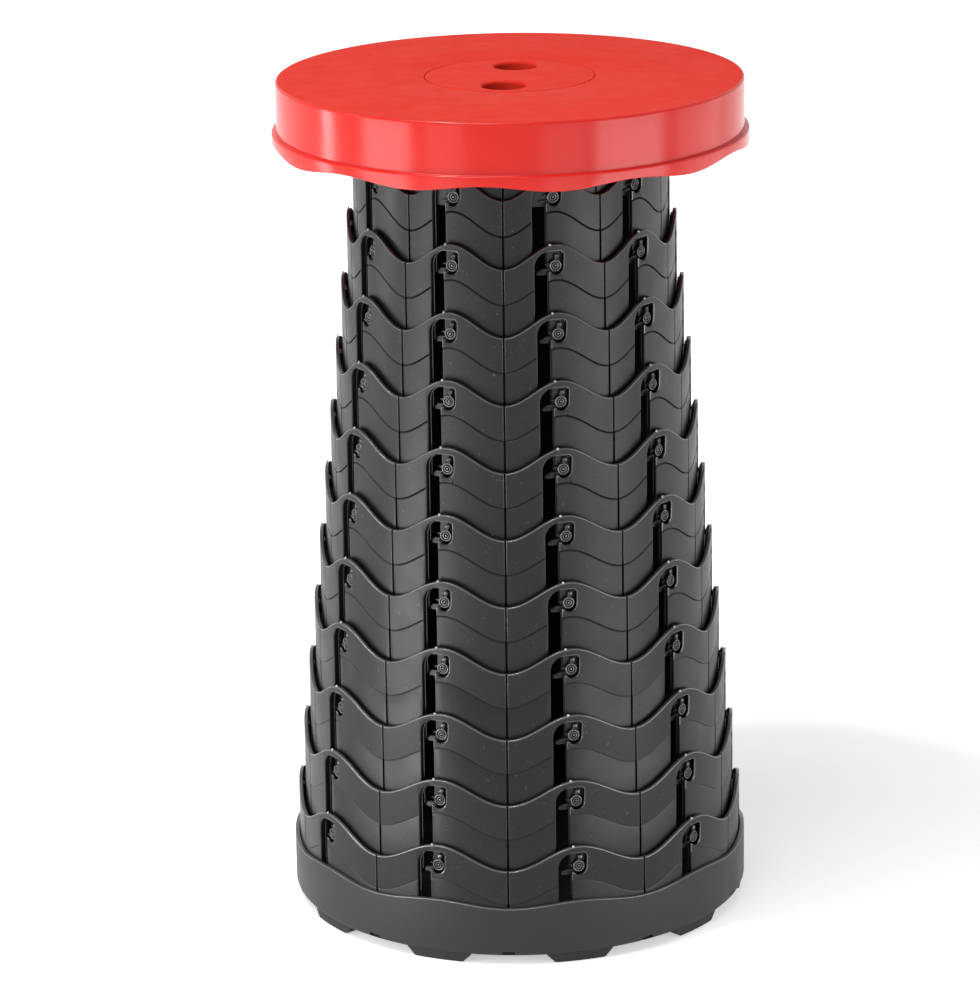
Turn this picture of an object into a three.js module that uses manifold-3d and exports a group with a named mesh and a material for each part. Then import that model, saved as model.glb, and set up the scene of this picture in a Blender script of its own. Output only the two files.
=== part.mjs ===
// A collapsible telescopic stool, pulled up and locked: a round seat cap on twelve nested rings in a tray.
// Millimetres, +Z up. The origin is on the floor under the middle, and the front faces -Y.
import * as THREE from 'three';
import { mergeVertices } from 'three/addons/utils/BufferGeometryUtils.js';
import Module from 'manifold-3d';

const wasm = await Module();
wasm.setup();

// Counts and turns
const ringCount = 12;
const waveCount = 10;
const sector = (2 * Math.PI) / waveCount;
const firstCrestTurn = THREE.MathUtils.degToRad(-21);
const gripTurn = THREE.MathUtils.degToRad(-6.5);

// Clearances and the overrun of every cut
const seatedGap = 0.3;
const nestingGap = 0.4;
const overrun = 2;

// Tray and feet
const trayRadius = 123.2;
const trayWall = 2.4;
const trayRimHeight = 34.6;
const trayWaveHeight = 3;
const trayEdgeChamfer = 1.6;
const trayFloorTop = 11.9;
const trayFloorThickness = 2.9;
const footHeight = 4.9;
const footTopWidth = 36;
const footBottomWidth = 27;
const footDepth = 12;
const ribThickness = 2;
const hubRadius = 34;
const notchWidth = 6.5;
const notchHeight = 1.7;
const notchAboveEdge = 0.8;

// Rings: each one is a step narrower and a rise higher than the next
const ringStep = 3.7;
const ringRise = 35;
const ringWall = 2;
const ringWaveHeight = 11.6;
const lugAboveBottom = 5.2;
const crestAboveLug = 11.3;
const collarHeight = 49.5;

// Lock lugs on the outside of a ring, near its bottom edge
const lugRadius = 3.2;
const lugKeyWidth = 2.8;
const lugKeyHeight = 4.6;

// J-shaped lock slots near the crests
const slotWidth = 7.3;
const slotOffset = 7.6;
const slotArcRadius = 8;
const slotSillHeight = 2;
const pocketRadius = 4;
const pocketTop = 7.8;
const cradleStartTurn = THREE.MathUtils.degToRad(240);
const cradleEndTurn = THREE.MathUtils.degToRad(330);
const cradleLipDrop = 2.3;

// Seat cap and its centre plug
const capWall = 2;
const capTopThickness = 3;
const capEdgeChamfer = 1.5;
const capSkirtHeight = 26.6;
const bandStep = 2.6;
const bandWall = 3;
const bandHeight = 8.6;
const capWaveHeight = 3;
const plugHoleRadius = 44.8;
const plugThickness = 2.5;
const plugGap = 0.35;
const ledgeWidth = 3.2;
const ledgeThickness = 2.4;
const gripRadius = 11.4;
const gripOffset = 26.6;
const gripRimChamfer = 1.3;
const gripCollarWall = 2;
const gripCollarHeight = 7;

// Heights and radii that follow
const ringHeight = lugAboveBottom + ringRise + crestAboveLug;
const lowestRingBottom = trayFloorTop + seatedGap;
const widestRingRadius = trayRadius - trayWall - seatedGap;
const capRadius = widestRingRadius + nestingGap + capWall;
const trayBottom = footHeight + seatedGap;
const ringBottom = (number) => lowestRingBottom + ringRise * (ringCount - number);
const ringRadius = (number) => widestRingRadius - ringStep * (ringCount - number);
const capUnderside = ringBottom(1) + collarHeight + seatedGap;
const seatTop = capUnderside + capTopThickness;
const bandTop = seatTop - capSkirtHeight;

// Where the walls have a corner, as shares of one wave from its crest, and how far the wavy edge has
// dropped there, as shares of the wave's height. Crests and valleys are flat.
const stationShares = [-0.13, 0.13, 0.37, 0.63];
const dropShares = [0, 0, 1, 1];

// All corners round the axis, each with its angle and the drop of a wave of height one. Every wall has the
// same ones, so that the walls nest without touching.
const stations = [];
for (let wave = 0; wave < waveCount; wave += 1) {
  stationShares.forEach((share, index) => {
    stations.push({ angle: firstCrestTurn + sector * (wave + share), drop: dropShares[index] });
  });
}

function crestAngle(index) {
  return firstCrestTurn + sector * index;
}

function valleyAngle(index) {
  return firstCrestTurn + sector * (index + 0.5);
}

// Angles run from the front, -Y, towards +X
function outward(angle) {
  return new THREE.Vector3(Math.sin(angle), -Math.cos(angle), 0);
}

// Turns a flat outline to stand upright, facing outward at an angle: x goes round, y goes up
function facing(angle, radius, height) {
  const out = outward(angle);
  const round = new THREE.Vector3(Math.cos(angle), Math.sin(angle), 0);
  const up = new THREE.Vector3(0, 0, 1);
  const matrix = new THREE.Matrix4().makeBasis(round, up, out);
  return matrix.setPosition(out.x * radius, out.y * radius, height);
}

function solidOf(geometry, matrix) {
  const bare = geometry.clone();
  bare.deleteAttribute('normal');
  bare.deleteAttribute('uv');
  const merged = mergeVertices(bare);
  if (matrix) {
    merged.applyMatrix4(matrix);
  }
  return new wasm.Manifold(new wasm.Mesh({
    numProp: 3,
    vertProperties: new Float32Array(merged.attributes.position.array),
    triVerts: new Uint32Array(merged.index.array),
  }));
}

function geometryOf(solid) {
  const mesh = solid.getMesh();
  const geometry = new THREE.BufferGeometry();
  geometry.setAttribute('position', new THREE.BufferAttribute(new Float32Array(mesh.vertProperties), 3));
  geometry.setIndex(new THREE.BufferAttribute(new Uint32Array(mesh.triVerts), 1));
  geometry.computeVertexNormals();
  return geometry;
}

// A ring lofted round the axis. outlineAt gives the section at a wave's drop as [radius, height] corners,
// from the outer wall's foot upwards and back down the inner wall.
function loftRing(outlineAt) {
  const positions = [];
  const indices = [];
  const corners = outlineAt(0).length;
  for (const { angle, drop } of stations) {
    const out = outward(angle);
    for (const [radius, height] of outlineAt(drop)) {
      positions.push(out.x * radius, out.y * radius, height);
    }
  }
  for (let station = 0; station < stations.length; station += 1) {
    const here = station * corners;
    const next = ((station + 1) % stations.length) * corners;
    for (let corner = 0; corner < corners; corner += 1) {
      const after = (corner + 1) % corners;
      indices.push(here + corner, next + corner, next + after);
      indices.push(here + corner, next + after, here + after);
    }
  }
  const geometry = new THREE.BufferGeometry();
  geometry.setAttribute('position', new THREE.Float32BufferAttribute(positions, 3));
  geometry.setIndex(indices);
  return geometry;
}

// A disc or tube wall about the axis, between two heights
function discOf(radius, bottom, top, sides, turn = 0) {
  const height = top - bottom;
  const geometry = new THREE.CylinderGeometry(radius, radius, height, sides);
  geometry.rotateX(Math.PI / 2);
  geometry.rotateZ(turn);
  geometry.translate(0, 0, bottom + height / 2);
  return solidOf(geometry);
}

// A box that stands on a radius: across it, along it and up
function spokeBox(angle, across, innerRadius, outerRadius, bottom, top) {
  const depth = outerRadius - innerRadius;
  const geometry = new THREE.BoxGeometry(across, top - bottom, depth);
  return solidOf(geometry, facing(angle, innerRadius + depth / 2, bottom + (top - bottom) / 2));
}

function arcPoints(centreX, centreY, radius, from, to, steps) {
  const points = [];
  for (let step = 0; step <= steps; step += 1) {
    const turn = from + ((to - from) * step) / steps;
    points.push(new THREE.Vector2(centreX + radius * Math.cos(turn), centreY + radius * Math.sin(turn)));
  }
  return points;
}

// The J-shaped lock slot about the centre of the pocket that holds the lug: a tall leg at the left,
// over an arc into the pocket, whose cradle has a lip that the lug is lifted over
function slotOutline() {
  const left = -slotOffset - slotWidth / 2;
  const right = -slotOffset + slotWidth / 2;
  const sill = slotSillHeight - lugAboveBottom - ringRise;
  const cradle = arcPoints(0, 0, pocketRadius, cradleStartTurn, cradleEndTurn, 1);
  const arcHeight = pocketTop - slotArcRadius;
  const arc = arcPoints(left + slotArcRadius, arcHeight, slotArcRadius, Math.PI / 2, Math.PI, 2);
  return new THREE.Shape([
    new THREE.Vector2(left, sill),
    new THREE.Vector2(right, sill),
    new THREE.Vector2(right, -cradleLipDrop),
    ...cradle,
    new THREE.Vector2(pocketRadius, pocketTop),
    ...arc,
  ]);
}

// A lug seen from outside: a round head that narrows upwards to a key
function lugOutline() {
  const half = lugKeyWidth / 2;
  return new THREE.Shape([
    ...arcPoints(0, 0, lugRadius, Math.PI, 2 * Math.PI, 3),
    new THREE.Vector2(half, lugKeyHeight),
    new THREE.Vector2(-half, lugKeyHeight),
  ]);
}

function lugSolid(angle, radius, height) {
  const root = ringWall / 2;
  const tip = ringStep - ringWall - nestingGap;
  const geometry = new THREE.ExtrudeGeometry(lugOutline(), { depth: root + tip, bevelEnabled: false });
  return solidOf(geometry, facing(angle, radius - root, height));
}

function slotSolid(angle, radius, height) {
  const depth = ringWall + 2 * overrun;
  const geometry = new THREE.ExtrudeGeometry(slotOutline(), { depth, bevelEnabled: false });
  return solidOf(geometry, facing(angle, radius - ringWall - overrun, height));
}

// One telescopic ring. The narrowest has a plain top edge without slots, and the widest has no lugs.
function ringGeometry(number) {
  const radius = ringRadius(number);
  const bottom = ringBottom(number);
  const isNarrowest = number === 1;
  const isWidest = number === ringCount;
  const top = isNarrowest ? bottom + collarHeight : bottom + ringHeight;
  const waveHeight = isNarrowest ? 0 : ringWaveHeight;
  let solid = solidOf(loftRing((drop) => {
    const edge = top - waveHeight * drop;
    return [[radius, bottom], [radius, edge], [radius - ringWall, edge], [radius - ringWall, bottom]];
  }));
  for (let index = 0; index < waveCount; index += 1) {
    const angle = crestAngle(index);
    if (!isNarrowest) {
      solid = solid.subtract(slotSolid(angle, radius, bottom + lugAboveBottom + ringRise));
    }
    if (!isWidest) {
      solid = solid.add(lugSolid(angle, radius, bottom + lugAboveBottom));
    }
  }
  return geometryOf(solid);
}

// The tray: a wavy wall, a floor that carries the widest ring, ribs under the floor and drain notches
function trayGeometry() {
  const floorBottom = trayFloorTop - trayFloorThickness;
  const inside = trayRadius - trayWall;
  const floorRadius = trayRadius - trayWall / 2;
  const sides = stations.length;
  const hubSides = sides / 2;
  const wall = loftRing((drop) => {
    const rim = trayRimHeight - trayWaveHeight * drop;
    return [
      [trayRadius - trayEdgeChamfer, trayBottom],
      [trayRadius, trayBottom + trayEdgeChamfer],
      [trayRadius, rim],
      [inside, rim],
      [inside, trayBottom],
    ];
  });
  let solid = solidOf(wall);
  solid = solid.add(discOf(floorRadius, floorBottom, trayFloorTop, sides, firstCrestTurn));
  const hub = discOf(hubRadius, trayBottom, floorBottom + overrun / 2, hubSides, firstCrestTurn);
  const hollowRadius = hubRadius - ribThickness;
  const hubHollow = discOf(hollowRadius, trayBottom - overrun, floorBottom, hubSides, firstCrestTurn);
  solid = solid.add(hub).subtract(hubHollow);
  for (let index = 0; index < waveCount; index += 1) {
    const ribStart = hubRadius - ribThickness / 2;
    const ribTop = floorBottom + overrun / 2;
    solid = solid.add(spokeBox(crestAngle(index), ribThickness, ribStart, floorRadius, trayBottom, ribTop));
    const notchBottom = trayBottom + notchAboveEdge;
    const notchTop = notchBottom + notchHeight;
    solid = solid.subtract(
      spokeBox(valleyAngle(index), notchWidth, inside - overrun, trayRadius + overrun, notchBottom, notchTop),
    );
  }
  return geometryOf(solid);
}

// A foot pad: a trapezium seen from outside, curved to follow the tray's edge
function footGeometry(index) {
  const outer = trayRadius - trayEdgeChamfer;
  const inner = outer - footDepth;
  const steps = 2;
  const middle = crestAngle(index);
  const positions = [];
  const indices = [];
  for (let step = 0; step <= steps; step += 1) {
    const share = (2 * step) / steps - 1;
    const topTurn = (share * footTopWidth) / 2 / outer;
    const bottomTurn = (share * footBottomWidth) / 2 / outer;
    const corners = [
      [outer, 0, bottomTurn],
      [outer, footHeight, topTurn],
      [inner, footHeight, topTurn],
      [inner, 0, bottomTurn],
    ];
    for (const [radius, height, turn] of corners) {
      const out = outward(middle + turn);
      positions.push(out.x * radius, out.y * radius, height);
    }
  }
  for (let step = 0; step < steps; step += 1) {
    const here = step * 4;
    const next = here + 4;
    for (let corner = 0; corner < 4; corner += 1) {
      const after = (corner + 1) % 4;
      indices.push(here + corner, next + corner, next + after);
      indices.push(here + corner, next + after, here + after);
    }
  }
  const last = steps * 4;
  indices.push(0, 1, 2, 0, 2, 3);
  indices.push(last, last + 2, last + 1, last, last + 3, last + 2);
  const geometry = new THREE.BufferGeometry();
  geometry.setAttribute('position', new THREE.Float32BufferAttribute(positions, 3));
  geometry.setIndex(indices);
  return geometryOf(solidOf(geometry));
}

// The seat cap: a flat top with a stepped hole for the plug, a skirt that nests over the widest ring, and
// a wider wavy band below it
function capGeometry() {
  const ledgeTop = seatTop - plugThickness - seatedGap;
  const ledgeBottom = ledgeTop - ledgeThickness;
  const ledgeRadius = plugHoleRadius - ledgeWidth;
  const band = capRadius + bandStep;
  const wall = loftRing((drop) => {
    const edge = bandTop - bandHeight + capWaveHeight * drop;
    return [
      [band - bandWall, edge],
      [band, edge],
      [band, bandTop - bandStep / 2],
      [capRadius, bandTop],
      [capRadius, seatTop - capEdgeChamfer],
      [capRadius - capEdgeChamfer, seatTop],
      [plugHoleRadius, seatTop],
      [plugHoleRadius, ledgeTop],
      [ledgeRadius, ledgeTop],
      [ledgeRadius, ledgeBottom],
      [plugHoleRadius + ledgeThickness, ledgeBottom],
      [plugHoleRadius + ledgeThickness, capUnderside],
      [capRadius - capWall, capUnderside],
      [capRadius - capWall, bandTop - bandStep],
      [band - bandWall, bandTop - bandStep],
    ];
  });
  return geometryOf(solidOf(wall));
}

// The centre plug: a disc with two collared finger holes, one nearer the front
function plugGeometry() {
  const sides = 40;
  const holeSides = 14;
  const bottom = seatTop - plugThickness;
  let solid = discOf(plugHoleRadius - plugGap, bottom, seatTop, sides);
  for (const side of [-1, 1]) {
    const turn = gripTurn + (side > 0 ? Math.PI : 0);
    const place = outward(turn).multiplyScalar(gripOffset);
    const collarRadius = gripRadius + gripCollarWall;
    const collar = discOf(collarRadius, seatTop - gripCollarHeight, seatTop - plugThickness / 2, holeSides);
    solid = solid.add(collar.translate([place.x, place.y, 0]));
    const hole = discOf(gripRadius, seatTop - gripCollarHeight - overrun, seatTop + overrun, holeSides);
    const chamfer = new THREE.CylinderGeometry(
      gripRadius + gripRimChamfer + overrun, gripRadius, gripRimChamfer + overrun, holeSides);
    chamfer.rotateX(Math.PI / 2);
    chamfer.translate(0, 0, seatTop - gripRimChamfer + (gripRimChamfer + overrun) / 2);
    solid = solid.subtract(hole.add(solidOf(chamfer)).translate([place.x, place.y, 0]));
  }
  return geometryOf(solid);
}

const redPlastic = new THREE.MeshStandardMaterial({ color: 0xe23a2c, roughness: 0.35, metalness: 0 });
const redPlugPlastic = new THREE.MeshStandardMaterial({ color: 0xe0382b, roughness: 0.5, metalness: 0 });
const blackPlastic = new THREE.MeshStandardMaterial({ color: 0x2c2e2e, roughness: 0.4, metalness: 0 });
const trayPlastic = new THREE.MeshStandardMaterial({ color: 0x303232, roughness: 0.5, metalness: 0 });
const padRubber = new THREE.MeshStandardMaterial({ color: 0x1c1d1d, roughness: 0.85, metalness: 0 });

function addPiece(parent, name, geometry, material) {
  const mesh = new THREE.Mesh(geometry, material);
  mesh.name = name;
  parent.add(mesh);
}

function numbered(prefix, number) {
  return `${prefix}_${String(number).padStart(2, '0')}`;
}

const stool = new THREE.Group();
const seat = new THREE.Group();
const base = new THREE.Group();
stool.add(seat, base);
addPiece(seat, 'seat_cap', capGeometry(), redPlastic);
addPiece(seat, 'seat_insert', plugGeometry(), redPlugPlastic);
for (let number = 1; number <= ringCount; number += 1) {
  addPiece(stool, numbered('ring', number), ringGeometry(number), blackPlastic);
}
addPiece(base, 'base_tray', trayGeometry(), trayPlastic);
for (let index = 0; index < waveCount; index += 1) {
  addPiece(base, numbered('foot', index + 1), footGeometry(index), padRubber);
}

export default stool;
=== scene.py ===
"""Looks of the collapsible telescopic stool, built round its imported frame. Sizes are in millimetres."""
import math

import bpy
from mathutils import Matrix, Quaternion, Vector
from mathutils.geometry import delaunay_2d_cdt


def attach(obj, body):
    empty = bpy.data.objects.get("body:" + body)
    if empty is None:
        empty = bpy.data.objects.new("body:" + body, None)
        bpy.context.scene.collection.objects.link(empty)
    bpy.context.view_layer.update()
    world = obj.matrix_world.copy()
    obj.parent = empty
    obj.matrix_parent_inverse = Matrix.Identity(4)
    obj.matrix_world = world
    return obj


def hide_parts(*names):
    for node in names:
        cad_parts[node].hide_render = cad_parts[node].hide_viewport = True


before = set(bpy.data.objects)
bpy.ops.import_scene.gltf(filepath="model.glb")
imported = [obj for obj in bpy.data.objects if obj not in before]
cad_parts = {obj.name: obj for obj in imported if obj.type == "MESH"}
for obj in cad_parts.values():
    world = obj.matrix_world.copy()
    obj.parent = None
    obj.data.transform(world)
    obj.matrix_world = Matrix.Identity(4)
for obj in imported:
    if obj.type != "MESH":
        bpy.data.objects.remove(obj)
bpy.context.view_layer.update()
scene = bpy.context.scene

MM = 0.001
RINGS = 12
WAVES = 10
SECTOR = math.radians(36)
CREST_TURN = math.radians(-21)
CAP_LOBE_TURN = math.radians(-24.5)

# Rings. Number 1 is the narrowest and plain; RING_FLOOR is the height that number 12 stands on.
WIDEST = 120.5
STEP = 3.7
WALL = 2.0
RISE = 35.0
RING_FLOOR = 12.2
LUG_ABOVE_BOTTOM = 5.2
TOP_FILLET = 0.6
WAVE_STEPS = 48
COLUMNS = 18
FOOT_STEPS = 24

# From here to the nub, heights are about the centre of a ring's pockets
BOTTOM = -RISE - LUG_ABOVE_BOTTOM
PLAIN_TOP = BOTTOM + 49.5
CREST = 11.4
WAVE = 12.4

# Lock slot
LEG_LEFT = -11.3
LEG_RIGHT = -4.0
SLOT_ARC = 8.0
POCKET_TOP = 7.8
POCKET_RIGHT = 4.2
POCKET_ARC = 2
POCKET_FOOT = -3.6
CRADLE = 3.95
CRADLE_DROP = 0.4
LIP = 0.45
LIP_HEIGHT = -3.1
TAB_LEFT = -9.0
SLOT_FILLET = 0.42
CHANNEL = 3.6
CHANNEL_SIDE = 0.05
CHANNEL_TOP = -1.0
CHANNEL_WALL = 1.0
THIN_BELOW = 0.5

# Groove along the wave, slit under each valley and nub on each crest
LINE_DROP = 18.5
LINE_ABOVE = 0.28
LINE_BELOW = 0.8
LINE_DEPTH = 0.6
LINE_STOP = 0.4
LINE_END = 0.1
LINE_FULL_RINGS = 6
LINE_FADE = 0.1
LINE_SHADE_RINGS = 9
SLIT_HALF = 0.55
SLIT_FILLET = 0.14
SLIT_DEPTH = 1.75
NUB_AT = -3.1
NUB_RADIUS = 0.75
NUB_LIFT = 0.1

# Lines beside the edges, and tests of whether a point lies on a rounded edge or in a groove
SLACK = 0.02
NEAR = 0.6
ROUNDED_FROM = 0.002
ROUNDED_TO = 0.45
TOP_INSETS = (0.06, 0.2, 0.38, TOP_FILLET)
SLIT_INSETS = (0, SLACK, 0.06, SLIT_FILLET)
SLOT_INSETS = (0.12, SLOT_FILLET)

# A ring's looks, in the order of its materials: plain skin, painted highlight, painted shade and a painted
# glint
SKIN, PAINTED_HIGHLIGHT, PAINTED_SHADE, PAINTED_GLINT = range(4)

# Seat
SEAT_TOP = 450.0
CAP_UNDER = 447.0
CAP_RADIUS = 122.9
CAP_INNER = 120.95
BAND_RADIUS = 125.4
BAND_INNER = 122.5
BAND_TOP = 423.3
BAND_BOTTOM = 414.85
CAP_WAVE = 3.1
GLOSS_DROP = 0.12
PLUG_RADIUS = 44.45
PLUG_HOLE = 44.85
PLUG_EDGE = 0.5
PLUG_SKIN = 2.5
GRIP_RADIUS = 11.4
GRIP_OFFSET = 26.6
GRIP_TURN = math.radians(-6.5)
GRIP_LIP = 1.6
GRIP_DEPTH = 7

# Tray and pads
TRAY_RADIUS = 123.15
TRAY_INNER = 120.8
TRAY_BOTTOM = 5.2
TRAY_RIM = 34.5
TRAY_WAVE = 3.0
TRAY_FLOOR_UNDER = 9.0
TRAY_FLOOR_TOP = 11.9
TRAY_EDGE = 0.45
PAINTED_HIGHLIGHT_STRIPS = range(11, 17)
HUB_OUTER = 34.0
HUB_INNER = 32.0
NOTCH_WIDTH = 6.5
NOTCH_DEPTH = 2.0
PAD_OUTER = TRAY_RADIUS - 1.75
PAD_INNER = PAD_OUTER - 11.5
PAD_STEPS = 12
AXIS = 0.01


def outward(turn):
    """The direction away from the stool's axis, at a turn from the front towards +X"""
    return Vector((math.sin(turn), -math.cos(turn), 0))


class Surface:
    """Points in millimetres and faces with a look index, collected from several sheets; the index picks a
    material, which is a real finish or painted light
    """

    def __init__(self):
        self.points = []
        self.faces = []
        self.look_indices = []

    def add(self, points, faces, look_index=0):
        """Adds faces with the points that they use"""
        used = sorted({i for face in faces for i in face})
        place = {old: len(self.points) + new for new, old in enumerate(used)}
        self.points.extend(points[i] for i in used)
        self.faces.extend(tuple(place[i] for i in face) for face in faces)
        self.look_indices.extend([look_index] * len(faces))

    def copy(self, other, place):
        """Adds another surface, with its points moved by a function"""
        start = len(self.points)
        self.points.extend(place(*point) for point in other.points)
        self.faces.extend(tuple(start + i for i in face) for face in other.faces)
        self.look_indices.extend(other.look_indices)


def make_piece(node, surface, materials, body, smooth):
    """An object made from a surface, which stands for a CAD node"""
    mesh = bpy.data.meshes.new("look_" + node)
    mesh.from_pydata([tuple(p * MM for p in point) for point in surface.points], [], surface.faces)
    mesh.validate()
    for material in materials:
        mesh.materials.append(material)
    mesh.polygons.foreach_set("material_index", surface.look_indices)
    mesh.update()
    mesh.shade_smooth()
    mesh.set_sharp_from_angle(angle=math.radians(smooth))
    piece = bpy.data.objects.new("look_" + node, mesh)
    scene.collection.objects.link(piece)
    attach(piece, body)
    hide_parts(node)


# Materials
DUST_SCALE = 420
DUST_COLOUR = (0.35, 0.35, 0.34)


def principled(name):
    material = bpy.data.materials.new(name)
    material.use_nodes = True
    tree = material.node_tree
    return material, tree, tree.nodes["Principled BSDF"]


def noise(tree, scale, detail, seed):
    """Noise that stays on the object; the seed moves it to another part of the pattern"""
    coordinates = tree.nodes.new("ShaderNodeTexCoord")
    mapping = tree.nodes.new("ShaderNodeMapping")
    mapping.inputs["Location"].default_value = (seed, seed * 0.7, seed * 1.3)
    node = tree.nodes.new("ShaderNodeTexNoise")
    node.inputs["Scale"].default_value = scale
    node.inputs["Detail"].default_value = detail
    tree.links.new(coordinates.outputs["Object"], mapping.inputs["Vector"])
    tree.links.new(mapping.outputs["Vector"], node.inputs["Vector"])
    return node.outputs["Fac"]


def spread(tree, source, low, high, start=0.3, end=0.7):
    """Maps start to low and end to high"""
    node = tree.nodes.new("ShaderNodeMapRange")
    node.inputs["From Min"].default_value = start
    node.inputs["From Max"].default_value = end
    node.inputs["To Min"].default_value = low
    node.inputs["To Max"].default_value = high
    tree.links.new(source, node.inputs["Value"])
    return node.outputs["Result"]


def blend_colours(tree, factor, first, second):
    """A mix of two colours; the first may be a colour or another node's output"""
    node = tree.nodes.new("ShaderNodeMix")
    node.data_type = "RGBA"
    if isinstance(first, tuple):
        node.inputs["A"].default_value = (*first, 1)
    else:
        tree.links.new(first, node.inputs["A"])
    node.inputs["B"].default_value = (*second, 1)
    tree.links.new(factor, node.inputs["Factor"])
    return node.outputs["Result"]


def plastic(name, dark, light, rough, scales, grain, specular, dust=0.0):
    """Moulded plastic: cloudy colour, uneven gloss, and grain of (scale, strength, depth, seed)"""
    material, tree, shader = principled(name)
    cloud = noise(tree, scales[0], 2, 3.1)
    colour = blend_colours(tree, spread(tree, cloud, 0.0, 1.0), dark, light)
    if dust:
        specks = spread(tree, noise(tree, DUST_SCALE, 5, 12.4), 0.0, dust, 0.66, 0.78)
        colour = blend_colours(tree, specks, colour, DUST_COLOUR)
    tree.links.new(colour, shader.inputs["Base Color"])
    haze = noise(tree, scales[1], 4, 7.7)
    tree.links.new(spread(tree, haze, *rough), shader.inputs["Roughness"])
    shader.inputs["Specular IOR Level"].default_value = specular
    scale, strength, depth, seed = grain
    bump = tree.nodes.new("ShaderNodeBump")
    bump.inputs["Strength"].default_value = strength
    bump.inputs["Distance"].default_value = depth * MM
    tree.links.new(noise(tree, scale, 3, seed), bump.inputs["Height"])
    tree.links.new(bump.outputs["Normal"], shader.inputs["Normal"])
    return material


ring_skin = plastic("ring_plastic", (0.0065, 0.0065, 0.0068), (0.0105, 0.0105, 0.0108),
                    (0.30, 0.42), (18, 60), (1400, 0.05, 0.2, 1.7), 0.28, dust=0.16)
# Painted highlight: a grey several times lighter than the ring's black, on rounded edges, wall tops, lug rims
# and the tray's rim
painted_highlight_grey = plastic("ring_edge", (0.050, 0.050, 0.050), (0.080, 0.080, 0.080),
                   (0.18, 0.28), (60, 120), (1400, 0.03, 0.2, 6.1), 0.9)
# Painted shade: a darker, more matte black in slits, on slot walls, on the groove's steep side, inside the
# ring and on lug sides
painted_shade_black = plastic("ring_inner", (0.003, 0.003, 0.003), (0.005, 0.005, 0.005),
                    (0.55, 0.70), (30, 60), (1200, 0.04, 0.2, 9.2), 0.12)
# Painted highlight: a pale grey on each nub that stands in for a glint
painted_glint_grey = plastic("ring_worn", (0.30, 0.30, 0.30), (0.55, 0.55, 0.55),
                    (0.25, 0.35), (90, 120), (1200, 0.04, 0.2, 2.2), 0.6)
tray_black = plastic("tray_plastic", (0.017, 0.0195, 0.019), (0.022, 0.0245, 0.024),
                     (0.42, 0.52), (14, 40), (1600, 0.06, 0.2, 5.3), 0.28)
pad_black = plastic("pad_rubber", (0.016, 0.018, 0.017), (0.022, 0.024, 0.023),
                    (0.55, 0.7), (40, 90), (1200, 0.12, 0.3, 8.9), 0.25)
red_gloss = plastic("cap_gloss", (0.70, 0.009, 0.003), (0.73, 0.013, 0.006),
                    (0.15, 0.21), (10, 30), (900, 0.02, 0.2, 2.9), 0.36)
red_matte = plastic("seat_matte", (0.73, 0.026, 0.011), (0.77, 0.034, 0.016),
                    (0.52, 0.62), (70, 90), (1500, 0.28, 0.3, 4.4), 0.08)


# Plane shapes
def arc(x, y, radius, start, end, steps):
    turns = [math.radians(start + (end - start) * i / steps) for i in range(steps + 1)]
    return [(x + radius * math.cos(t), y + radius * math.sin(t)) for t in turns]


def even(count):
    return [2 * math.pi * i / count for i in range(count)]


def offset_path(path, distance):
    """The path moved into the wall, which lies on its left"""
    moved = []
    for i, point in enumerate(path):
        before = Vector(path[max(i - 1, 0)])
        after = Vector(path[min(i + 1, len(path) - 1)])
        here = Vector(point)
        first = (here - before).normalized() if i else (after - here).normalized()
        second = (after - here).normalized() if i < len(path) - 1 else first
        along = first + second
        along = along.normalized() if along.length > 1e-6 else first
        normal = Vector((-along.y, along.x))
        square = Vector((-first.y, first.x))
        stretch = 1 / max(normal.dot(square), 0.5)
        moved.append(tuple(here + normal * distance * stretch))
    return moved


def segment_distance(x, y, a, b):
    dx, dy = b[0] - a[0], b[1] - a[1]
    length = dx * dx + dy * dy
    t = 0 if length == 0 else max(0, min(1, ((x - a[0]) * dx + (y - a[1]) * dy) / length))
    return math.hypot(x - a[0] - t * dx, y - a[1] - t * dy)


def path_distance(x, y, path):
    return min(segment_distance(x, y, path[i], path[i + 1]) for i in range(len(path) - 1))


def fillet(distance, radius):
    """How far a rounded edge has sunk at a distance from the edge"""
    inside = max(0.0, radius - distance)
    return radius - math.sqrt(max(0.0, radius * radius - inside * inside))


def triangulate(outline, lines):
    """Triangles that fill the outline, with edges along the lines"""
    points = []
    edges = []
    for line in lines:
        start = len(points)
        points.extend(line)
        edges.extend((start + i, start + i + 1) for i in range(len(line) - 1))
    face = list(range(len(points), len(points) + len(outline)))
    points.extend(outline)
    vectors = [Vector(point) for point in points]
    made, _, triangles, _, _, owners = delaunay_2d_cdt(vectors, edges, [face], 0, 1e-5, True)
    return [tuple(v) for v in made], [tuple(t) for t, owner in zip(triangles, owners) if owner]


# Turned shapes
def quads(columns, rows):
    """Faces between columns of points that stand in a closed circle"""
    faces = []
    for i in range(columns):
        j = (i + 1) % columns
        for k in range(rows - 1):
            faces.append((i * rows + k, j * rows + k, j * rows + k + 1, i * rows + k + 1))
    return faces


def lathe(profile_at, turns):
    """A turned surface about the stool's axis. Its profile, of (radius, height), may change with the turn."""
    points = []
    for turn in turns:
        out = outward(turn)
        points.extend((out.x * r, out.y * r, z) for r, z in profile_at(turn))
    return points, quads(len(turns), len(profile_at(0.0)))


def revolve(profile, turns, x=0.0, y=0.0):
    """A turned surface about an upright axis through x, y"""
    points = []
    for t in turns:
        points.extend((x + r * math.cos(t), y + r * math.sin(t), z) for r, z in profile)
    return points, quads(len(turns), len(profile))


# Ring sheets

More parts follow.
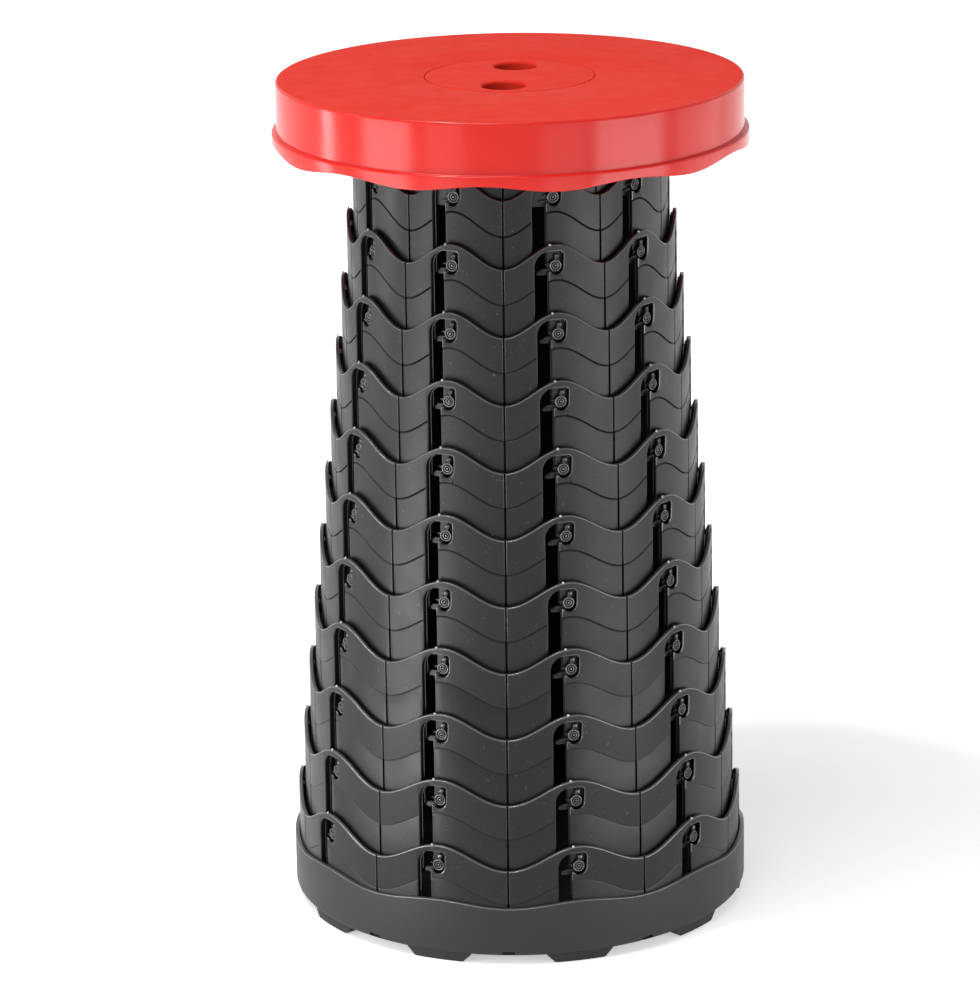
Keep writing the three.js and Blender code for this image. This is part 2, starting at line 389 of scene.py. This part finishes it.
# The slot's edge from the bottom left, up, over the pocket and down to the bottom right
LEFT_LEG = [(LEG_LEFT, z) for z in (BOTTOM, -30.0, -20.0, -10.0)]
SLOT_TOP = [
    *arc(LEG_LEFT + SLOT_ARC, POCKET_TOP - SLOT_ARC, SLOT_ARC, 180, 90, 12),
    *arc(POCKET_RIGHT - POCKET_ARC, POCKET_TOP - POCKET_ARC, POCKET_ARC, 90, 0, 5),
]
CRADLE_EDGE = arc(0, -CRADLE_DROP, CRADLE, 0, -145, 14)
RIGHT_LEG = [
    *arc(LEG_RIGHT + LIP, LIP_HEIGHT, LIP, 60, 180, 4),
    *[(LEG_RIGHT, z) for z in (-10.0, -20.0, -30.0, BOTTOM + 3.4)],
]
TAB = [(TAB_LEFT + 0.5, BOTTOM + 2.0), (TAB_LEFT, BOTTOM + 1.5), (TAB_LEFT, BOTTOM)]
SLOT = LEFT_LEG + SLOT_TOP + CRADLE_EDGE + RIGHT_LEG + TAB
TOP_END = len(LEFT_LEG + SLOT_TOP)
CRADLE_END = TOP_END + len(CRADLE_EDGE)
LEG_END = CRADLE_END + len(RIGHT_LEG)

# Walls along parts of that edge, from the skin inwards: mostly painted shade, with a painted highlight along
# the inner lip of the left leg and the arch
SLOT_WALLS = [
    (SLOT[:TOP_END], [(0, SLOT_FILLET, PAINTED_SHADE), (0, 2.85, PAINTED_HIGHLIGHT), (0.26, 2.95, PAINTED_SHADE), (0.26, 3.4, PAINTED_SHADE),
                      (-0.9, 3.4, PAINTED_SHADE), (-0.9, WALL, PAINTED_SHADE)]),
    (SLOT[TOP_END - 1:CRADLE_END], [(0, SLOT_FILLET, PAINTED_SHADE), (0, CHANNEL_WALL, PAINTED_SHADE)]),
    (SLOT[CRADLE_END - 1:LEG_END], [(0, SLOT_FILLET, PAINTED_SHADE), (0, 1.95, SKIN), (0.3, 2.05, PAINTED_SHADE),
                                    (0.3, 2.35, PAINTED_SHADE), (-0.4, 2.35, PAINTED_SHADE), (-0.4, WALL, PAINTED_SHADE)]),
    (SLOT[LEG_END - 1:], [(0, SLOT_FILLET, SKIN), (0, WALL, SKIN)]),
]
# The wall's top is all painted highlight, and its underside is painted shade
TOP_WALL = [(0, TOP_FILLET, PAINTED_HIGHLIGHT), (0, WALL - 0.3, PAINTED_HIGHLIGHT), (-0.3, WALL, PAINTED_HIGHLIGHT)]
BOTTOM_WALL = [(0, 0, PAINTED_SHADE), (0, WALL, PAINTED_SHADE)]


def wave_at(u, pitch):
    return CREST - WAVE * (1 - math.cos(2 * math.pi * u / pitch)) / 2


def wave_slope(u, pitch):
    return -WAVE * math.pi / pitch * math.sin(2 * math.pi * u / pitch)


class Sector(Surface):
    """One wave of a ring, unrolled, in points of (u along the ring, height, depth into the wall)"""

    def __init__(self, number):
        super().__init__()
        self.number = number
        self.slotted = number > 1
        self.radius = WIDEST - STEP * (RINGS - number)
        self.pitch = self.radius * SECTOR
        self.half = self.pitch / 2
        steps = range(WAVE_STEPS + 1)
        self.crest = [(u, self.top(u)) for u in (self.half - self.pitch * i / WAVE_STEPS for i in steps)]
        slot = SLOT if self.slotted else []
        self.outline = [(-self.half, BOTTOM), *slot, (self.half, BOTTOM), *self.crest]
        columns = [self.column(-self.half + self.pitch * i / COLUMNS) for i in range(1, COLUMNS)]
        self.add_outer_skin(columns)
        self.add_inner_skin(columns)
        self.add_walls()

    def top(self, u):
        return wave_at(u, self.pitch) if self.slotted else PLAIN_TOP

    def stretch(self, u):
        """Length of the top edge for each millimetre of u"""
        return math.hypot(1, wave_slope(u, self.pitch)) if self.slotted else 1.0

    def column(self, u):
        return [(u, BOTTOM), (u, self.top(u))]

    def row(self, drop, square):
        """A line along the wave: a drop straight down, and a distance square to the wave"""
        line = []
        for i in range(WAVE_STEPS + 1):
            u = -self.half + self.pitch * i / WAVE_STEPS
            line.append((u, self.top(u) - drop - square * self.stretch(u)))
        return line

    def edge_distance(self, u, z):
        return (self.top(u) - z) / self.stretch(u)

    def over_groove(self, u, z):
        """Distance above the groove's deepest line, square to the wave"""
        return (z - wave_at(u, self.pitch) + LINE_DROP) / self.stretch(u)

    def near_pocket(self, u, z):
        """On the rounded edge of the slot's pocket"""
        beside = LEG_RIGHT - NEAR < u < POCKET_RIGHT + NEAR and POCKET_FOOT < z < POCKET_TOP + NEAR
        return self.slotted and beside and path_distance(u, z, SLOT) < SLOT_FILLET + SLACK

    def groove_depth(self, u, z):
        """Steep above, gentle below, shallower on the wide rings, and gone just left of the slot"""
        if LEG_LEFT - LINE_STOP < u < LEG_LEFT:
            return 0.0
        over = self.over_groove(u, z)
        share = 1 - (over / LINE_ABOVE if over > 0 else -over / LINE_BELOW)
        fade = min(1.0, 1 - LINE_FADE * (self.number - LINE_FULL_RINGS))
        return LINE_DEPTH * fade * max(0.0, share)

    def depth_at(self, u, z):
        """How deep the outer skin lies under the ring's radius"""
        side = abs(self.half - abs(u))
        if side < SLIT_HALF + SLACK / 2:
            return SLIT_DEPTH
        depth = fillet(self.edge_distance(u, z), TOP_FILLET)
        if side < SLIT_HALF + SLIT_FILLET + SLACK:
            depth = max(depth, fillet(side - SLIT_HALF, SLIT_FILLET))
        if self.slotted:
            depth = max(depth, self.groove_depth(u, z))
            if LEG_LEFT - NEAR < u < POCKET_RIGHT + NEAR and z < POCKET_TOP + NEAR:
                depth = max(depth, fillet(path_distance(u, z, SLOT), SLOT_FILLET))
        return depth

    def outer_lines(self):
        """Lines on which the outer skin bends, besides its columns"""
        lines = []
        for side in (-1, 1):
            for inset in SLIT_INSETS:
                lines.append(self.column(side * (self.half - SLIT_HALF - inset)))
        lines.extend(self.row(0.0, inset) for inset in TOP_INSETS)
        if self.slotted:
            lines.extend(self.row(LINE_DROP, under) for under in (-LINE_ABOVE, 0.0, LINE_BELOW))
            for u in (LEG_LEFT - LINE_STOP, LEG_LEFT - LINE_STOP - LINE_END):
                low = wave_at(u, self.pitch) - LINE_DROP
                lines.append([(u, low - 2 * LINE_BELOW), (u, low + 2 * LINE_ABOVE)])
            lines.extend(offset_path(SLOT, inset) for inset in SLOT_INSETS)
        return lines

    def in_shade(self, u, z):
        """On the steep side of the groove, on the rings that get painted shade there"""
        if not self.slotted or self.number >= LINE_SHADE_RINGS or LEG_LEFT - LINE_STOP < u < LEG_LEFT:
            return False
        return -SLACK / 2 < self.over_groove(u, z) < LINE_ABOVE + SLACK / 2

    def add_outer_skin(self, columns):
        flat, triangles = triangulate(self.outline, columns + self.outer_lines())
        points = [(u, z, self.depth_at(u, z)) for u, z in flat]
        rounded = []
        for u, z, depth in points:
            on_edge = self.edge_distance(u, z) < TOP_FILLET + SLACK or self.near_pocket(u, z)
            rounded.append(ROUNDED_FROM < depth < ROUNDED_TO and on_edge)
        in_slit = [self.half - abs(u) < SLIT_HALF + SLACK / 2 for u, _ in flat]
        shaded = [self.in_shade(u, z) for u, z in flat]
        groups = {SKIN: [], PAINTED_HIGHLIGHT: [], PAINTED_SHADE: []}
        # Rounded edges take the painted highlight; slits and the groove's steep side take painted shade
        for face in sorted(triangles):
            if any(rounded[i] for i in face):
                groups[PAINTED_HIGHLIGHT].append(face)
            elif any(in_slit[i] for i in face) or all(shaded[i] for i in face):
                groups[PAINTED_SHADE].append(face)
            else:
                groups[SKIN].append(face)
        for look_index, faces in groups.items():
            self.add(points, faces, look_index)

    def add_inner_skin(self, columns):
        """The inner skin, thinned under the pocket where the lugs of the ring above pass, all in painted
        shade
        """
        lines = list(columns)
        if self.slotted:
            for u in (-CHANNEL, -CHANNEL + CHANNEL_SIDE, CHANNEL - CHANNEL_SIDE, CHANNEL):
                lines.append([(u, BOTTOM), (u, CHANNEL_TOP)])
        flat, triangles = triangulate(self.outline, lines)
        points = []
        for u, z in flat:
            thin = self.slotted and abs(u) < CHANNEL - SLACK and z < THIN_BELOW
            points.append((u, z, CHANNEL_WALL if thin else WALL))
        self.add(points, [t[::-1] for t in triangles], PAINTED_SHADE)

    def add_walls(self):
        self.add_wall(self.crest, TOP_WALL)
        feet = [(-self.half, LEG_LEFT), (TAB_LEFT, self.half)] if self.slotted else [(-self.half, self.half)]
        for start, end in feet:
            across = [start + (end - start) * i / FOOT_STEPS for i in range(FOOT_STEPS + 1)]
            self.add_wall([(u, BOTTOM) for u in across], BOTTOM_WALL)
        if self.slotted:
            for path, profile in SLOT_WALLS:
                self.add_wall(path, profile)

    def add_wall(self, path, profile):
        """A wall along a path. The profile has rows of (shift into the slot, depth, finish)."""
        rows = [[(u, z, depth) for u, z in offset_path(path, -shift)] for shift, depth, _ in profile]
        count = len(path)
        faces = [(i, i + count, i + count + 1, i + 1) for i in range(count - 1)]
        for level in range(len(profile) - 1):
            self.add(rows[level] + rows[level + 1], faces, profile[level][2])


# Lugs and nubs

# Rows of (radius, height over the ring, look of the strip to the next row): painted highlight on the rims and
# the dot, painted shade on the sides and the inner dish, plain skin on the outer dish
LUG_PROFILE = [
    (3.1, -0.2, PAINTED_SHADE), (3.1, 1.95, PAINTED_HIGHLIGHT), (3.03, 2.22, PAINTED_HIGHLIGHT), (2.88, 2.4, PAINTED_HIGHLIGHT), (2.68, 2.44, PAINTED_HIGHLIGHT),
    (2.5, 2.38, PAINTED_HIGHLIGHT), (2.38, 2.2, PAINTED_SHADE), (2.32, 1.8, SKIN), (1.78, 1.8, PAINTED_SHADE), (1.7, 2.15, PAINTED_HIGHLIGHT),
    (1.56, 2.34, PAINTED_HIGHLIGHT), (1.36, 2.36, PAINTED_HIGHLIGHT), (1.2, 2.22, PAINTED_SHADE), (1.14, 1.8, PAINTED_SHADE), (0.6, 1.8, PAINTED_HIGHLIGHT),
    (0.5, 2.2, PAINTED_HIGHLIGHT), (0.0, 2.3, PAINTED_HIGHLIGHT),
]
LUG_SIDES = 28
LUG_FOOT = -0.2
# The post above the head: layers of (half width, top, height over the ring), leaning to the right
KEY_LAYERS = [(1.35, 5.9, LUG_FOOT), (1.35, 5.9, 1.35), (1.1, 5.5, 1.9), (0.75, 4.7, 2.2)]
KEY_FOOT = 2.0
KEY_SHOULDER = 4
KEY_LEAN = 0.16
CHAMFER_WIDE = 0.5
CHAMFER_HIGH = 0.6
# The prongs to the left
PRONGS = [
    [(-2.6, -1.7), (-6.4, -1.95), (-7.1, -2.2), (-7.1, -2.5), (-6.2, -2.75), (-3.0, -3.0)],
    [(-2.6, 1.3), (-5.0, 0.75), (-5.1, 0.4), (-2.6, -0.2)],
]
PRONG_HEIGHT = 1.2


def prism(layers):
    """Stacked outlines of equal length, closed at the top"""
    count = len(layers[0])
    points = [point for layer in layers for point in layer]
    faces = []
    for a in range(0, len(points) - count, count):
        b = a + count
        for i in range(count):
            j = (i + 1) % count
            faces.append((a + i, a + j, b + j, b + i))
    faces.append(tuple(range(len(points) - count, len(points))))
    return points, faces


def lug_surface():
    """A round head with two rings and a dot, its post above and two thin prongs to the left"""
    surface = Surface()
    points, faces = revolve([(r, c) for r, c, _ in LUG_PROFILE], even(LUG_SIDES))
    strips = len(LUG_PROFILE) - 1
    for k in range(strips):
        surface.add(points, faces[k::strips], LUG_PROFILE[k][2])
    layers = []
    for half, top, c in KEY_LAYERS:
        low = top - CHAMFER_HIGH
        flat = [(-half, KEY_FOOT), (half, KEY_FOOT), (half, low),
                (half - CHAMFER_WIDE, top), (-half + CHAMFER_WIDE, top), (-half, low)]
        layers.append([(x + KEY_LEAN * y, y, c) for x, y in flat])
    points, faces = prism(layers)
    # The post's chamfered top gets the painted highlight
    bevel = []
    for face in faces[:-1]:
        if min(face) >= len(layers[0]) and all(points[i][1] > KEY_SHOULDER for i in face):
            bevel.append(face)
    surface.add(points, [face for face in faces if face not in bevel], SKIN)
    surface.add(points, bevel, PAINTED_HIGHLIGHT)
    for outline in PRONGS:
        surface.add(*prism([[(x, y, c) for x, y in outline[::-1]] for c in (LUG_FOOT, PRONG_HEIGHT)]), SKIN)
    return surface


def nub_surface(sides=10, rings=4):
    """A dome, all in the pale grey of a painted glint"""
    points = [(0.0, 0.0, NUB_RADIUS)]
    for level in range(1, rings + 1):
        lift = math.pi / 2 * level / rings
        reach = NUB_RADIUS * math.sin(lift)
        height = NUB_RADIUS * math.cos(lift)
        points.extend((reach * math.cos(t), reach * math.sin(t), height) for t in even(sides))
    faces = [(0, 1 + i, 1 + (i + 1) % sides) for i in range(sides)]
    for level in range(rings - 1):
        a = 1 + level * sides
        for i in range(sides):
            j = (i + 1) % sides
            faces.append((a + i, a + sides + i, a + sides + j, a + j))
    surface = Surface()
    surface.add(points, faces, PAINTED_GLINT)
    return surface


LUG = lug_surface()
NUB = nub_surface()


def build_ring(number):
    sector = Sector(number)
    pocket = RING_FLOOR + RISE * (RINGS - number) + LUG_ABOVE_BOTTOM + RISE
    peak = wave_at(NUB_AT, sector.pitch)
    surface = Surface()

    def place(wave, u, z, depth):
        turn = CREST_TURN + SECTOR * wave + u / sector.radius
        reach = sector.radius - depth
        return (reach * math.sin(turn), -reach * math.cos(turn), pocket + z)

    for wave in range(WAVES):
        surface.copy(sector, lambda u, z, depth: place(wave, u, z, depth))
        if number < RINGS:
            surface.copy(LUG, lambda x, y, c: place(wave, x, y - RISE, -c))
        if sector.slotted:
            surface.copy(NUB, lambda x, y, c: place(wave, NUB_AT + x, peak + NUB_LIFT + y, NUB_RADIUS - c))
    body = "base" if number == RINGS else "section_%02d" % number
    materials = [ring_skin, painted_highlight_grey, painted_shade_black, painted_glint_grey]
    make_piece("ring_%02d" % number, surface, materials, body, 28)


# Seat surfaces
def cap_profile(turn):
    """From the cap's inside under its top, down the skirt, round the waved band and up to the plug's ledge"""
    lobe = (1 - math.cos(WAVES * (turn - CAP_LOBE_TURN))) / 2
    bottom = BAND_BOTTOM + CAP_WAVE * lobe
    return [
        (CAP_INNER, CAP_UNDER),
        (CAP_INNER, BAND_TOP - 1.5),
        (BAND_INNER, BAND_TOP - 3),
        (BAND_INNER, bottom + 0.3),
        (BAND_INNER + 0.3, bottom),
        *arc(BAND_RADIUS - 0.5, bottom + 0.5, 0.5, -90, 0, 4),
        *arc(BAND_RADIUS - 0.8, BAND_TOP - 1.0, 0.8, 0, 90, 5),
        (CAP_RADIUS + 0.9, BAND_TOP - 0.2),
        (CAP_RADIUS + 0.25, BAND_TOP - 0.3),
        (CAP_RADIUS, BAND_TOP),
        (CAP_RADIUS, BAND_TOP + 0.6),
        (CAP_RADIUS - 0.1, SEAT_TOP - 12),
        *arc(CAP_RADIUS - 1.4, SEAT_TOP - 1.3, 1.3, 0, 90, 7),
        (CAP_RADIUS - 4, SEAT_TOP),
        (90, SEAT_TOP),
        (PLUG_HOLE + 0.8, SEAT_TOP),
        (PLUG_HOLE + 0.2, SEAT_TOP - 0.15),
        (PLUG_HOLE, SEAT_TOP - 0.5),
        (PLUG_HOLE, SEAT_TOP - 2.8),
        (PLUG_HOLE - 3.2, SEAT_TOP - 2.8),
        (PLUG_HOLE - 3.2, SEAT_TOP - 5.2),
        (PLUG_HOLE + 2.4, SEAT_TOP - 5.2),
        (PLUG_HOLE + 2.4, CAP_UNDER),
        (CAP_INNER, CAP_UNDER),
    ]


def cap_surface():
    """Glossy on the skirt and matte from the rim inwards"""
    surface = Surface()
    surface.add(*lathe(cap_profile, even(360)))
    profile = cap_profile(0.0)
    matte_from = next(i for i, point in enumerate(profile) if point[1] > SEAT_TOP - GLOSS_DROP)
    strips = len(profile) - 1
    surface.look_indices = [int(i % strips >= matte_from) for i in range(len(surface.faces))]
    return surface


def plug_surface():
    """The plug's top skin with two rounded holes, its underside, its edge and the holes' collars"""
    surface = Surface()
    edge = [(PLUG_RADIUS, SEAT_TOP - PLUG_SKIN),
            *arc(PLUG_RADIUS - PLUG_EDGE, SEAT_TOP - PLUG_EDGE, PLUG_EDGE, 0, 90, 3)]
    wide = GRIP_RADIUS + GRIP_LIP
    hole_reach = 0.998 * wide
    turns = even(96)
    hole_turns = even(48)
    centres = [outward(GRIP_TURN) * GRIP_OFFSET, outward(GRIP_TURN + math.pi) * GRIP_OFFSET]
    outline = [(edge[-1][0] * math.cos(t), edge[-1][0] * math.sin(t)) for t in turns]
    lines = []
    for centre in centres:
        loop = [(centre.x + wide * math.cos(t), centre.y + wide * math.sin(t)) for t in hole_turns]
        lines.append(loop + loop[:1])
    flat, triangles = triangulate(outline, lines)
    kept = []
    for face in triangles:
        x = sum(flat[i][0] for i in face) / 3
        y = sum(flat[i][1] for i in face) / 3
        if all(math.hypot(x - centre.x, y - centre.y) > hole_reach for centre in centres):
            kept.append(face)
    surface.add([(x, y, SEAT_TOP) for x, y in flat], kept)
    surface.add([(x, y, SEAT_TOP - PLUG_SKIN) for x, y in flat], [face[::-1] for face in kept])
    surface.add(*revolve(edge, turns))
    lip = []
    for i in range(7):
        t = math.pi / 2 * i / 6
        lip.append((wide - GRIP_LIP * math.sin(t), SEAT_TOP - GRIP_LIP * (1 - math.cos(t))))
    bore = [
        *lip,
        (GRIP_RADIUS, SEAT_TOP - GRIP_DEPTH + 0.3),
        (GRIP_RADIUS + 0.3, SEAT_TOP - GRIP_DEPTH),
        (GRIP_RADIUS + 2, SEAT_TOP - GRIP_DEPTH),
        (GRIP_RADIUS + 2, SEAT_TOP - PLUG_SKIN),
    ]
    for centre in centres:
        surface.add(*revolve(bore, hole_turns, centre.x, centre.y))
    return surface


# Tray and pad surfaces
def in_notch(turn):
    """Inside one of the ten drain notches, which lie under the valleys"""
    away = (turn - CREST_TURN) % SECTOR - SECTOR / 2
    return abs(away) * TRAY_RADIUS < NOTCH_WIDTH / 2


def tray_profile(turn):
    """From the hub, under the floor, round the outside and the waved rim, and in over the floor"""
    rim = TRAY_RIM - TRAY_WAVE * (1 - math.cos(WAVES * (turn - CREST_TURN))) / 2
    notched = in_notch(turn)
    face = TRAY_RADIUS - NOTCH_DEPTH if notched else TRAY_RADIUS
    return [
        (HUB_OUTER, TRAY_BOTTOM),
        (HUB_OUTER, TRAY_FLOOR_UNDER),
        (TRAY_INNER - 1.2, TRAY_FLOOR_UNDER),
        (TRAY_INNER - 1.2, TRAY_BOTTOM),
        (TRAY_RADIUS - 1.7, TRAY_BOTTOM),
        (TRAY_RADIUS - 1.1, TRAY_BOTTOM + 0.2),
        (TRAY_RADIUS - 0.5, TRAY_BOTTOM + 0.8),
        (face if notched else TRAY_RADIUS - 0.5, TRAY_BOTTOM + 0.85),
        (face, TRAY_BOTTOM + 1.9),
        (face, TRAY_BOTTOM + 2.5),
        (TRAY_RADIUS, TRAY_BOTTOM + 2.55),
        (TRAY_RADIUS, rim - TRAY_EDGE),
        *arc(TRAY_RADIUS - TRAY_EDGE, rim - TRAY_EDGE, TRAY_EDGE, 20, 90, 4),
        (TRAY_INNER + 0.3, rim),
        (TRAY_INNER, rim - 0.3),
        (TRAY_INNER, TRAY_FLOOR_TOP),
        (AXIS, TRAY_FLOOR_TOP),
    ]


def tray_surface():
    """The tray with its hub and ten ribs underneath, and a painted highlight on the strips of its rim"""
    surface = Surface()
    turns = even(360)
    for notch in range(WAVES):
        middle = (CREST_TURN + SECTOR * (notch + 0.5)) % (2 * math.pi)
        for side in (-1, 1):
            for step in (-SLACK, SLACK):
                turns.append(middle + side * (NOTCH_WIDTH / 2 + step) / TRAY_RADIUS)
    surface.add(*lathe(tray_profile, sorted(turns)))
    strips = len(tray_profile(0.0)) - 1
    surface.look_indices = [int(i % strips in PAINTED_HIGHLIGHT_STRIPS) for i in range(len(surface.faces))]
    hub = [(HUB_INNER, TRAY_FLOOR_UNDER), (HUB_INNER, TRAY_BOTTOM), (HUB_OUTER, TRAY_BOTTOM)]
    disc = [(AXIS, TRAY_FLOOR_UNDER), (HUB_INNER, TRAY_FLOOR_UNDER)]
    for profile in (hub, disc):
        surface.add(*lathe(lambda turn: profile, even(120)))
    root = TRAY_FLOOR_UNDER + 0.1
    rib_bottom = TRAY_BOTTOM + 0.15
    for rib in range(WAVES):
        middle = CREST_TURN + SECTOR * rib
        out = outward(middle)
        across = Vector((math.cos(middle), math.sin(middle), 0))
        points = []
        for reach in (HUB_OUTER - 0.5, TRAY_INNER - 1.0):
            for side, z in ((-1, root), (-0.8, rib_bottom), (0.8, rib_bottom), (1, root)):
                spot = out * reach + across * side
                points.append((spot.x, spot.y, z))
        surface.add(points, [(0, 4, 5, 1), (1, 5, 6, 2), (2, 6, 7, 3)])
    return surface


def pad_surface(number):
    """A pad under the rim: a curved trapezium with rounded lower edges"""
    middle = CREST_TURN + SECTOR * number
    row = PAD_STEPS + 1
    points = []
    faces = []
    # Height, width and inset, from the top down
    levels = [(5.15, 36.2, 0.0), (4.6, 36.0, 0.0), (1.0, 28.6, 0.0), (0.35, 27.4, 0.15), (0.0, 26.2, 0.7)]
    for z, width, inset in levels:
        for reach in (PAD_OUTER - inset, PAD_INNER + inset):
            for i in range(row):
                turn = middle + (i / PAD_STEPS - 0.5) * width / PAD_OUTER
                points.append((reach * math.sin(turn), -reach * math.cos(turn), z))
    last = (len(levels) - 1) * 2 * row
    for a in range(0, last, 2 * row):
        b = a + 2 * row
        for i in range(PAD_STEPS):
            faces.append((a + i, b + i, b + i + 1, a + i + 1))
            faces.append((a + row + i, a + row + i + 1, b + row + i + 1, b + row + i))
        faces.append((a, a + row, b + row, b))
        faces.append((a + PAD_STEPS, b + PAD_STEPS, b + row + PAD_STEPS, a + row + PAD_STEPS))
    for i in range(PAD_STEPS):
        faces.append((last + i, last + row + i, last + row + i + 1, last + i + 1))
        faces.append((i, i + 1, row + i + 1, row + i))
    surface = Surface()
    surface.add(points, faces)
    return surface


for ring_number in range(1, RINGS + 1):
    build_ring(ring_number)
make_piece("seat_cap", cap_surface(), [red_gloss, red_matte], "section_01", 35)
make_piece("seat_insert", plug_surface(), [red_matte], "section_01", 40)
make_piece("base_tray", tray_surface(), [tray_black, painted_highlight_grey], "base", 35)
for pad_number in range(WAVES):
    make_piece("foot_%02d" % (pad_number + 1), pad_surface(pad_number), [pad_black], "base", 40)


# Stage, in metres
def direct_rays(tree):
    """1 for rays from the camera, in reflections and through glass, and 0 for the rest"""
    path = tree.nodes.new("ShaderNodeLightPath")
    seen = path.outputs["Is Camera Ray"]
    for ray in ("Is Glossy Ray", "Is Transmission Ray"):
        either = tree.nodes.new("ShaderNodeMath")
        either.operation = "MAXIMUM"
        tree.links.new(seen, either.inputs[0])
        tree.links.new(path.outputs[ray], either.inputs[1])
        seen = either.outputs["Value"]
    return seen


def floor_material():
    """White paper that stays white in the picture away from the object and keeps its shadow"""
    material, tree, shader = principled("floor_white")
    shader.inputs["Base Color"].default_value = (0.9, 0.9, 0.9, 1)
    shader.inputs["Roughness"].default_value = 0.9
    shader.inputs["Specular IOR Level"].default_value = 0.1
    place = tree.nodes.new("ShaderNodeTexCoord")
    reach = tree.nodes.new("ShaderNodeVectorMath")
    reach.operation = "LENGTH"
    tree.links.new(place.outputs["Object"], reach.inputs[0])
    level = spread(tree, reach.outputs["Value"], 0.46, 1.0, 0.3, 1.4)
    seen = tree.nodes.new("ShaderNodeMath")
    seen.operation = "MULTIPLY"
    tree.links.new(level, seen.inputs[0])
    tree.links.new(direct_rays(tree), seen.inputs[1])
    glow = tree.nodes.new("ShaderNodeEmission")
    tree.links.new(seen.outputs["Value"], glow.inputs["Strength"])
    total = tree.nodes.new("ShaderNodeAddShader")
    tree.links.new(shader.outputs["BSDF"], total.inputs[0])
    tree.links.new(glow.outputs["Emission"], total.inputs[1])
    tree.links.new(total.outputs["Shader"], tree.nodes["Material Output"].inputs["Surface"])
    return material


def build_floor(reach=20):
    mesh = bpy.data.meshes.new("floor")
    corners = [(-reach, -reach, 0), (reach, -reach, 0), (reach, reach, 0), (-reach, reach, 0)]
    mesh.from_pydata(corners, [], [(0, 1, 2, 3)])
    mesh.materials.append(floor_material())
    floor = bpy.data.objects.new("floor", mesh)
    scene.collection.objects.link(floor)


def build_world():
    """White to the camera and in reflections, and a low even light for the rest"""
    world = bpy.data.worlds.new("studio")
    scene.world = world
    world.use_nodes = True
    tree = world.node_tree
    ambient = tree.nodes["Background"]
    ambient.inputs["Color"].default_value = (1, 1, 1, 1)
    ambient.inputs["Strength"].default_value = 0.28
    white = tree.nodes.new("ShaderNodeBackground")
    white.inputs["Strength"].default_value = 1.0
    mix = tree.nodes.new("ShaderNodeMixShader")
    tree.links.new(direct_rays(tree), mix.inputs["Fac"])
    tree.links.new(ambient.outputs["Background"], mix.inputs[1])
    tree.links.new(white.outputs["Background"], mix.inputs[2])
    tree.links.new(mix.outputs["Shader"], tree.nodes["World Output"].inputs["Surface"])


def area_lamp(name, width, height, power, out, place, colour=(1, 1, 1)):
    """A lamp at a place, facing against the direction out, that the camera doesn't see"""
    light = bpy.data.lights.new(name, "AREA")
    light.shape = "RECTANGLE"
    light.size = width
    light.size_y = height
    light.energy = power
    light.color = colour
    lamp = bpy.data.objects.new(name, light)
    lamp.location = place
    lamp.rotation_euler = (-out).to_track_quat("-Z", "Y").to_euler()
    lamp.visible_camera = False
    scene.collection.objects.link(lamp)


def panel(name, turn, reach, low, high, width, radiance, colour=(1, 1, 1)):
    """An upright soft panel facing the middle, at a turn from the front towards +X"""
    out = outward(math.radians(turn))
    place = out * reach + Vector((0, 0, (low + high) / 2))
    power = radiance * math.pi * width * (high - low)
    area_lamp(name, width, high - low, power, out, place, colour)


def lamp_above(name, turn, rise, reach, size, power):
    """A square lamp aimed at the stool's middle"""
    level = outward(math.radians(turn)) * math.cos(math.radians(rise))
    out = level + Vector((0, 0, math.sin(math.radians(rise))))
    area_lamp(name, size, size, power, out, out * reach + Vector((0, 0, 0.2)))


def build_camera():
    """The photograph's viewpoint: 16 degrees down, turned by -0.8 degrees about its own axis"""
    data = bpy.data.cameras.new("camera")
    data.sensor_fit = "HORIZONTAL"
    data.sensor_width = 36
    data.lens = 155.24
    data.shift_x = -0.02506
    data.shift_y = -0.0612
    data.clip_end = 60
    camera = bpy.data.objects.new("camera", data)
    camera.rotation_mode = "QUATERNION"
    camera.location = (0.0048, -2.1776, 0.8756)
    pan = Quaternion((0, 0, 1), 0.0022)
    tilt = Quaternion((1, 0, 0), math.pi / 2 - 0.2769)
    roll = Quaternion((0, 0, 1), -0.0135)
    camera.rotation_quaternion = pan @ tilt @ roll
    scene.collection.objects.link(camera)
    scene.camera = camera


COOL = (0.94, 0.97, 1.0)
SOFTBOX = 0.9
SOFTBOX_RADIANCE = 3.6

build_floor()
build_world()
panel("left_panel", -57, 0.65, 0.01, 0.40, 0.28, 4.3, COOL)
panel("left_high_panel", -78, 1.0, 0.62, 0.95, 0.14, 8.0)
panel("left_low_panel", -54, 0.46, 0.005, 0.12, 0.3, 6.0)
panel("left_fill", -30, 1.0, 0.02, 0.40, 0.3, 1.1)
panel("left_strip", -94, 1.0, 0.08, 0.40, 0.12, 8.5, COOL)
panel("right_fill", 24, 1.0, 0.02, 0.40, 0.34, 0.9)
panel("right_panel", 56, 0.8, 0.01, 0.40, 0.5, 3.4)
panel("right_low_panel", 50, 0.46, 0.005, 0.09, 0.3, 2.2)
panel("right_back_panel", 100, 1.0, 0.02, 0.36, 0.6, 0.9)
lamp_above("softbox", -40, 66, 1.5, SOFTBOX, SOFTBOX_RADIANCE * math.pi * SOFTBOX ** 2)
lamp_above("key", -60, 71, 2.0, 0.12, 9)
build_camera()
scene.view_settings.view_transform = "Standard"
